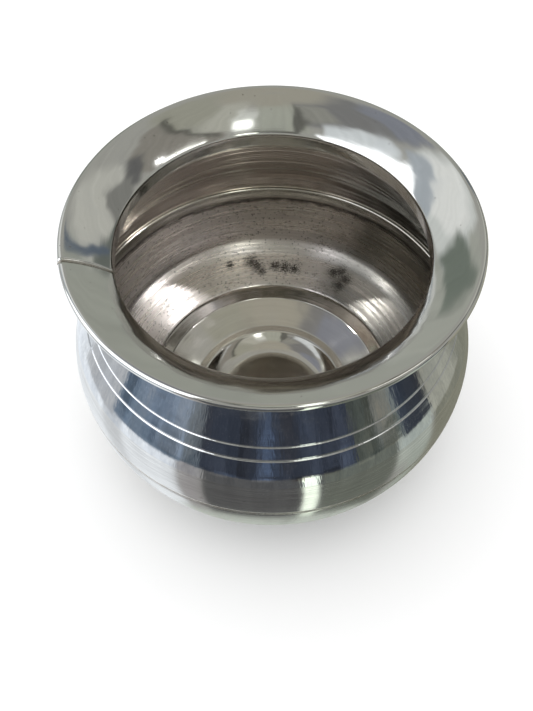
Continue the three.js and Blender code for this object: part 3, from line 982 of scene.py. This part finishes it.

# %% Spun inside of the shell
# Painted shade: a darker tone laid over the right side of the pot's inside, where less light falls
PAINTED_SHADE_TONE = (0.20, 0.195, 0.17)  # steel that is darkened on one side of the pot
inside_spun, tree, surface = steel("inside_spun", (0.86, 0.80, 0.74), 0.16, anisotropic=0.5)
rings = use_group(tree, turned_lines, Lines=300.0, Length=9.0, Detail=3.0)
patches = use_group(tree, clouds, Scale=28.0, Low=0.42, High=0.68)
# Painted shade on the right side of the shell's inner face
painted_right_shade = use_group(tree, stain_and_shade_patch, Centre=(0.085, 0.045, 0.095), Radius=0.085, Ragged=0.7, Grain=30.0)
dots = use_group(tree, specks, Scale=380.0, Size=0.35, Share=0.12)
vary(surface, patches, 0.12, 0.24)
tint(
    surface,
    (rings, 0.45, (0.54, 0.49, 0.45)),
    (patches, 0.3, (0.70, 0.66, 0.62)),
    (painted_right_shade, 0.85, PAINTED_SHADE_TONE),
    (dots, 0.6, (0.25, 0.22, 0.20)),
)
dent(surface, (rings, 0.014 * MM), (dots, -0.02 * MM))

# %% Lap band inside
inside_lap, tree, surface = steel("inside_lap", (0.80, 0.79, 0.74), 0.14)
rings = use_group(tree, turned_lines, Lines=500.0, Length=20.0)
patches = use_group(tree, clouds, Scale=60.0, Low=0.45, High=0.7)
vary(surface, patches, 0.10, 0.22)
dent(surface, (rings, 0.008 * MM), (patches, 0.02 * MM))

# %% Old stains on the wall inside the bowl
WALL_MARKS = [  # radius, azimuth from the front, height and width of each
    (94.6, -171.8, 29.2, 5.0),
    (91.5, -173.8, 27.9, 4.5),
    (87.7, -175.9, 26.4, 3.0),
    (95.3, -162.0, 29.5, 2.6),
    (91.1, 178.0, 27.7, 3.6),
    (90.7, 173.4, 27.6, 4.4),
    (90.2, 169.2, 27.4, 4.0),
    (94.6, 151.5, 29.2, 3.6),
    (97.6, 148.6, 30.4, 3.4),
    (93.7, 145.6, 28.8, 4.6),
    (88.2, 146.6, 26.6, 4.2),
]


def wall_stains(tree):
    """The mask of all the stains: wherever any of them is."""
    stained = None
    for radius, azimuth_degrees, height, width in WALL_MARKS:
        angle = np.radians(azimuth_degrees)
        centre = (radius * MM * np.sin(angle), -radius * MM * np.cos(angle), height * MM)
        mark = use_group(tree, stain_and_shade_patch, Centre=centre, Radius=width * MM, Ragged=5.5, Grain=1700.0)
        stained = mark if stained is None else calculate(tree, "MAXIMUM", stained, mark)
    return stained


# %% Matte wall inside the bowl
# Dirt and painted shade: a dark strip in the crevice under the lap, where shade falls and dirt collects
LAP_DIRT_AND_SHADE_HEIGHT = 0.0695  # the dark strip under the lap
inside_matte, tree, surface = steel("inside_matte", (0.84, 0.78, 0.75), 0.27, anisotropic=0.5)
brushing = use_group(tree, turned_lines, Lines=420.0, Length=11.0, Detail=5.0)
patches = use_group(tree, clouds, Scale=22.0, Low=0.42, High=0.7)
pits = use_group(tree, specks, Scale=760.0, Size=0.9, Share=0.42)
# Painted shade on the right side of the bowl's wall
painted_right_shade = use_group(tree, stain_and_shade_patch, Centre=(0.095, 0.040, 0.052), Radius=0.095, Ragged=0.9, Grain=30.0)
# Dirt and painted shade in the crevice under the lap
dirt_and_shade_under_lap = use_group(tree, dirt_and_shade_line, Height=LAP_DIRT_AND_SHADE_HEIGHT, Width=0.0032, Ragged=0.012, Grain=60.0)
stained = wall_stains(tree)
vary(surface, brushing, 0.22, 0.36)
tint(
    surface,
    (brushing, 0.42, (0.54, 0.50, 0.48)),
    (patches, 0.35, (0.72, 0.68, 0.67)),
    (pits, 0.85, (0.10, 0.09, 0.085)),
    (painted_right_shade, 0.85, PAINTED_SHADE_TONE),
    (dirt_and_shade_under_lap, 0.8, (0.10, 0.09, 0.08)),
    (stained, 0.95, (0.05, 0.045, 0.04)),
)
dent(surface, (brushing, 0.014 * MM), (pits, -0.04 * MM), (stained, -0.04 * MM))

# %% Polished bottom inside the bowl
inside_bottom, tree, surface = steel("inside_bottom", (0.76, 0.74, 0.70), 0.09)
rings = use_group(tree, turned_lines, Lines=500.0, Length=14.0)
haze = use_group(tree, clouds, Scale=50.0, Low=0.45, High=0.7)
vary(surface, haze, 0.07, 0.18)
tint(surface, (haze, 0.4, (0.66, 0.64, 0.61)), (rings, 0.15, (0.56, 0.53, 0.49)))
dent(surface, (rings, 0.008 * MM))

# %% Fine turned outside of the bowl
bowl_turned, tree, surface = steel("bowl_turned", (0.68, 0.68, 0.66), 0.20, anisotropic=0.7)
rings = use_group(tree, turned_lines, Lines=620.0, Length=5.0, Detail=2.0)
patches = use_group(tree, clouds, Scale=25.0, Low=0.42, High=0.7)
vary(surface, patches, 0.17, 0.25)
tint(surface, (rings, 0.3, (0.52, 0.52, 0.51)))
dent(surface, (rings, 0.012 * MM))

# %% Weld metal
weld_metal, tree, surface = steel("weld_metal", (0.62, 0.60, 0.57), 0.30)
grains = use_group(tree, clouds, Scale=420.0, Low=0.35, High=0.7)
heat = use_group(tree, clouds, Scale=90.0, Low=0.4, High=0.65)
vary(surface, grains, 0.25, 0.45)
tint(surface, (grains, 0.4, (0.36, 0.34, 0.32)), (heat, 0.35, (0.42, 0.36, 0.28)))
dent(surface, (grains, 0.06 * MM))
print("finishes:", sorted(material.name for material in bpy.data.materials if material.users == 0))


# %% [markdown]
# ## The shoulder shell
# This is the largest piece: belly, shoulder and neck spun from one blank. Two grooves were cut into
# the shoulder with a round-nosed tool, so their sections are half a cosine wave, not a sharp V. The
# shoulder above the belly is polished to a mirror and the belly is left satin, with a crisp border.
# A border between two finishes could be painted; here it lies on a station, so it is a clean edge.

# %% Shoulder shell
GROOVES = [  # rise above the shoulder's foot, width and depth of each
    (7.5 * MM, 1.7 * MM, 0.34 * MM),
    (14.6 * MM, 1.3 * MM, 0.26 * MM),
]
GROOVE_STEP = 0.16 * MM
SATIN_TOP = 95.9 * MM
# Seed, height, shortest and longest wave, and for fine waves how many and the most round the pot
SHELL_WAVES = (11, 0.045 * MM, 26 * MM, 80 * MM)
SHELL_FINE_WAVES = (12, 0.012 * MM, 5 * MM, 16 * MM, 40, 90)
SHELL_RINGS = (31, 0.14 * MM, 3 * MM, 11 * MM)

shell_path = shell_face()
shell_length = lengths_along(shell_path)
foot_length = BELLY_LAND + SHOULDER_ARC * SHOULDER_SLOPE
grooves = [(foot_length + rise / np.cos(SHOULDER_SLOPE), width, depth) for rise, width, depth in GROOVES]
satin_length = np.interp(SATIN_TOP, shell_path[:, 1], shell_length)
close_spots = [(middle, 0.8 * width, GROOVE_STEP) for middle, width, _ in grooves]
shell_stations = choose_stations(shell_path, 0.9 * MM, 0.3 * MM, 0.10, close_spots)
shell_stations[np.argmin(np.abs(shell_stations - satin_length))] = satin_length


def shell_moves(turn, length, part):
    """Long and short waves on both faces, faded out near the widest ring and the neck. Grooves on the
    outer face, inwards by the depth times half a cosine wave. Spun rings on the inner face."""
    fade = ramp(length - 3 * MM, 12 * MM) * ramp(shell_length[-1] - length, 10 * MM)
    shift = spun_waves(turn, length, *SHELL_WAVES) * fade
    shift = shift + spun_waves(turn, length, *SHELL_FINE_WAVES) * fade
    for middle, width, depth in grooves:
        from_middle = ramp(np.abs(length - middle), width / 2)
        shift = shift + (part == 0) * depth * (1 + np.cos(np.pi * from_middle)) / 2
    return shift + (part == 1) * (spun_rings(length, *SHELL_RINGS) * fade)


def shell_finish(length, part):
    """0 mirror shoulder, 1 satin belly, 2 inner face."""
    return np.where(part == 1, 2, np.where((part == 0) & (length < satin_length - 1e-9), 1, 0))


outline = sheet_outline(shell_path, shell_stations)
finishes = (shoulder_mirror, belly_satin, inside_spun)
shoulder = turned_piece("shoulder_shell_sheet", outline, finishes, shell_moves, shell_finish)
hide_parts("shoulder_shell")
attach(shoulder, "root")

# %% [markdown]
# ## The rim collar
# The collar is a strip rolled into a ring and closed with a weld at the left. Its outer edge is
# rolled under into a hollow bead. It could be one full ring with the weld laid over it, but the real
# strip has two ends, so the lathe stops either side of the weld, and the ends are closed flat.

# %% Rim collar
FLARE_WAVES = (5, 0.07 * MM, 24 * MM, 70 * MM)
FLARE_FINE_WAVES = (6, 0.030 * MM, 6 * MM, 18 * MM, 40, 60)
ROLL_WAVES = (8, 0.05 * MM, 30 * MM, 60 * MM)

collar_path = collar_face()
collar_end = lengths_along(collar_path)[-1]
collar_stations = choose_stations(collar_path, 0.95 * MM, 0.28 * MM, 0.12)
curl_length = CURL_RADIUS * CURL_TURN
seam_half = SEAM_WIDTH / 2 / RIM_RADIUS


def collar_moves(turn, length, part):
    """Long waves on the flare, faded out on the skirt, which has to fit in the neck, short waves on
    the flare alone, and small dents on the rolled edge, inwards only."""
    on_roll = ramp(curl_length - length, 2 * MM)
    above_skirt = ramp(collar_end - 8 * MM - length, 6 * MM)
    above_throat = ramp(collar_end - 12 * MM - length, 6 * MM)
    flare_wave = spun_waves(turn, length, *FLARE_WAVES) * above_skirt
    flare_wave = flare_wave + spun_waves(turn, length, *FLARE_FINE_WAVES) * above_throat
    roll_wave = np.abs(spun_waves(turn, length, *ROLL_WAVES)) * on_roll
    return flare_wave * (1 - on_roll) + roll_wave


collar = turned_piece(
    "rim_collar_sheet",
    sheet_outline(collar_path, collar_stations),
    (collar_polish,),
    collar_moves,
    start=SEAM_AZIMUTH + seam_half,
    sweep=TURN - 2 * seam_half,
)
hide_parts("rim_collar")
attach(collar, "root")

# %% [markdown]
# ## The bowl
# The bowl is the lower half. Its bottom is pressed in steps: a flat foot with a round hollow round
# it, a ledge, a dish and a riser. Its upper edge steps in and laps up inside the shell. Outside it
# has fine turned lines, inside a matte wall over a polished bottom. The steps could be modelled as
# rings, but one path through all of them keeps the sheet whole and equally thick.

# %% Lower bowl
BOWL_WAVES = (21, 0.06 * MM, 26 * MM, 90 * MM)
BOWL_RINGS = (33, 0.09 * MM, 5 * MM, 18 * MM)

bowl_path = bowl_face()
bowl_length = lengths_along(bowl_path)
bowl_stations = choose_stations(bowl_path, 1.35 * MM, 0.35 * MM, 0.09)
lap_start = bowl_length[-1] - BELLY_LAP - JOGGLE
rising = len(bowl_path) // 2  # up to here the path only goes outwards
bottom_end = np.interp(RISER_END + 1 * MM, bowl_path[:rising, 0], bowl_length[:rising])


def bowl_moves(turn, length, part):
    """Long waves between the riser and the joggle on both faces, and spun rings on the wall inside."""
    fade = ramp(length - 52 * MM, 15 * MM) * ramp(lap_start - 6 * MM - length, 15 * MM)
    wave = spun_waves(turn, length, *BOWL_WAVES) * fade
    on_wall = ramp(length - bottom_end, 4 * MM) * ramp(lap_start - length, 4 * MM)
    return wave + spun_rings(length, *BOWL_RINGS) * on_wall * (part == 1)


def bowl_finish(length, part):
    """0 outside, 1 matte wall inside, 2 polished bottom inside, 3 lap band inside."""
    inner = np.where(length < bottom_end, 2, np.where(length > lap_start, 3, 1))
    return np.where(part == 0, 0, np.where(part == 2, 3, inner))


outline = sheet_outline(bowl_path, bowl_stations, poles=True)
finishes = (bowl_turned, inside_matte, inside_bottom, inside_lap)
bowl = turned_piece("lower_bowl_sheet", outline, finishes, bowl_moves, bowl_finish)
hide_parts("lower_bowl")
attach(bowl, "root")

# %% [markdown]
# ## The welds
# The collar's seam was ground nearly flat and left two nubs, on the rolled edge and at the throat.
# The neck weld lies under the flare, with the ripples of a bead laid by hand. The belly weld fills
# the groove where shell and bowl meet, and was turned flush with them. A bump map would do for the
# ripples, but they catch the light along their edge too, so they are in the mesh.

# %% Seam weld of the collar
NUB_SPOTS = (curl_length - 5.0 * MM, collar_end - 9.0 * MM)
NUB_HEIGHT = 0.18 * MM
NUB_REACH = 1.1 * MM
SEAM_RIPPLE = 1.3 * MM


def seam_moves(turn, length, part):
    """Both faces stand proud by a crown that is highest in the middle of the weld, with ripples along
    it, and the upper one has a nub at each of its spots."""
    across = np.clip(1 - ((turn - SEAM_AZIMUTH) / seam_half) ** 2, 0, 1)
    nub = sum(np.exp(-(((length - spot) / NUB_REACH) ** 2)) for spot in NUB_SPOTS)
    ripple = 0.75 + 0.25 * np.cos(2 * np.pi * length / SEAM_RIPPLE)
    proud = (SEAM_CROWN * ripple + NUB_HEIGHT * nub) * across
    return np.where(part == 0, -proud, np.where(part == 1, SEAM_CROWN * ripple * across, 0))


seam = turned_piece(
    "collar_seam_bead",
    sheet_outline(collar_path, collar_stations),
    (weld_metal,),
    seam_moves,
    start=SEAM_AZIMUTH - seam_half,
    sweep=2 * seam_half,
    columns=8,
)
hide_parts("collar_seam_weld")
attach(seam, "root")

# %% Outline of a weld ring
RING_STEP = 0.3 * MM


def ring_outline(corners):
    """A closed outline through the corners, with points about a step apart and normals that point to
    its middle. All of it is the ring's own face."""
    sides = []
    for start, end in zip(corners, np.roll(corners, -1, axis=0)):
        pieces = max(int(np.hypot(*(end - start)) / RING_STEP), 1)
        sides.append(np.linspace(start, end, pieces + 1)[:-1])
    points = np.concatenate(sides)
    inwards = points.mean(axis=0) - points
    inwards /= np.maximum(np.hypot(*inwards.T), 1e-9)[:, None]
    return points, inwards, lengths_along(points), np.zeros(len(points), int)


# %% Neck weld
SCALES_ROUND = 110
SCALE_HEIGHT = 0.12 * MM
UNEVENNESS = 0.03 * MM

root_radius = throat_centre[0] - NECK_INNER
root_arc = polar(throat_centre, root_radius, np.linspace(np.pi / 2 + FLARE_FOOT_SLOPE, np.pi, 7))
flare_direction = np.array([np.cos(FLARE_FOOT_SLOPE), np.sin(FLARE_FOOT_SLOPE)])
toe = root_arc[0] + flare_direction * NECK_WELD_LEG
neck_corners = np.vstack([toe, root_arc, [[NECK_INNER, NECK_TOP], [NECK_OUTER, NECK_TOP]]])


def bead_ripples(turn, length, part):
    """Overlapping scales of a hand-laid bead: a sharpened wave round the pot, inwards only."""
    scale = 1 - np.abs(np.sin(SCALES_ROUND * turn + 3 * np.cos(2 * turn) + length / MM * 0.6))
    return SCALE_HEIGHT * scale + UNEVENNESS * (1 + np.cos(23 * turn)) * (length > 0)


neck_outline = ring_outline(neck_corners)
neck_ring = turned_piece("neck_weld_bead", neck_outline, (weld_metal,), bead_ripples, columns=1080)
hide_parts("neck_weld")
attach(neck_ring, "root")

# %% Belly weld
FLUSH_WAVE = 0.02 * MM

joggle_slope = np.arctan2(JOGGLE, BELLY_RADIUS - LAP_OUTER)
weld_root = LAP_OUTER + LAP_GAP / np.sin(joggle_slope)
weld_foot = BELLY_HEIGHT - (BELLY_RADIUS - weld_root) * np.tan(joggle_slope)
belly_corners = np.array(
    [[BELLY_RADIUS, weld_foot], [BELLY_RADIUS, BELLY_HEIGHT], [weld_root, BELLY_HEIGHT]]
)


def flush_waves(turn, length, part):
    """Turned flush, so it only waves inwards by a few hundredths of a millimetre."""
    return FLUSH_WAVE * (1 + np.cos(37 * turn + 2 * np.cos(5 * turn)))


belly_ring = turned_piece("belly_weld_ring", ring_outline(belly_corners), (weld_metal,), flush_waves)
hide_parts("belly_weld")
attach(belly_ring, "root")
